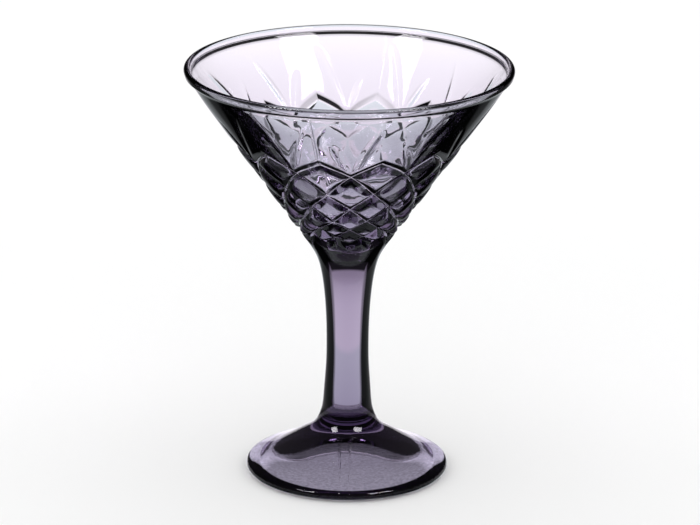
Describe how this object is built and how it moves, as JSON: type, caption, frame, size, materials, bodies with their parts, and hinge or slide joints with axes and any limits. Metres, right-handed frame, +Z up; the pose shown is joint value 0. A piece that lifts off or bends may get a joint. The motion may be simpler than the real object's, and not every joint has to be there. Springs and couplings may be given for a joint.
{
  "type": "martini glass",
  "caption": "Pressed martini glass with a cone bowl cut in diamonds and pointed leaves, a solid waisted stem and a round foot, in smoky lavender glass.",
  "frame": {"origin": "centre of the resting ring under the foot, on the surface that the glass stands on", "axes": "+Z up along the stem's axis; -Y is the front, +X to its right"},
  "size_m": [0.12, 0.12, 0.1546],
  "materials": {
    "smoky_glass": "fire-polished pressed glass, clear, tinted smoky lavender grey"
  },
  "bodies": {
    "root": {"bowl": "smoky_glass", "stem": "smoky_glass", "foot": "smoky_glass"}
  },
  "joints": []
}
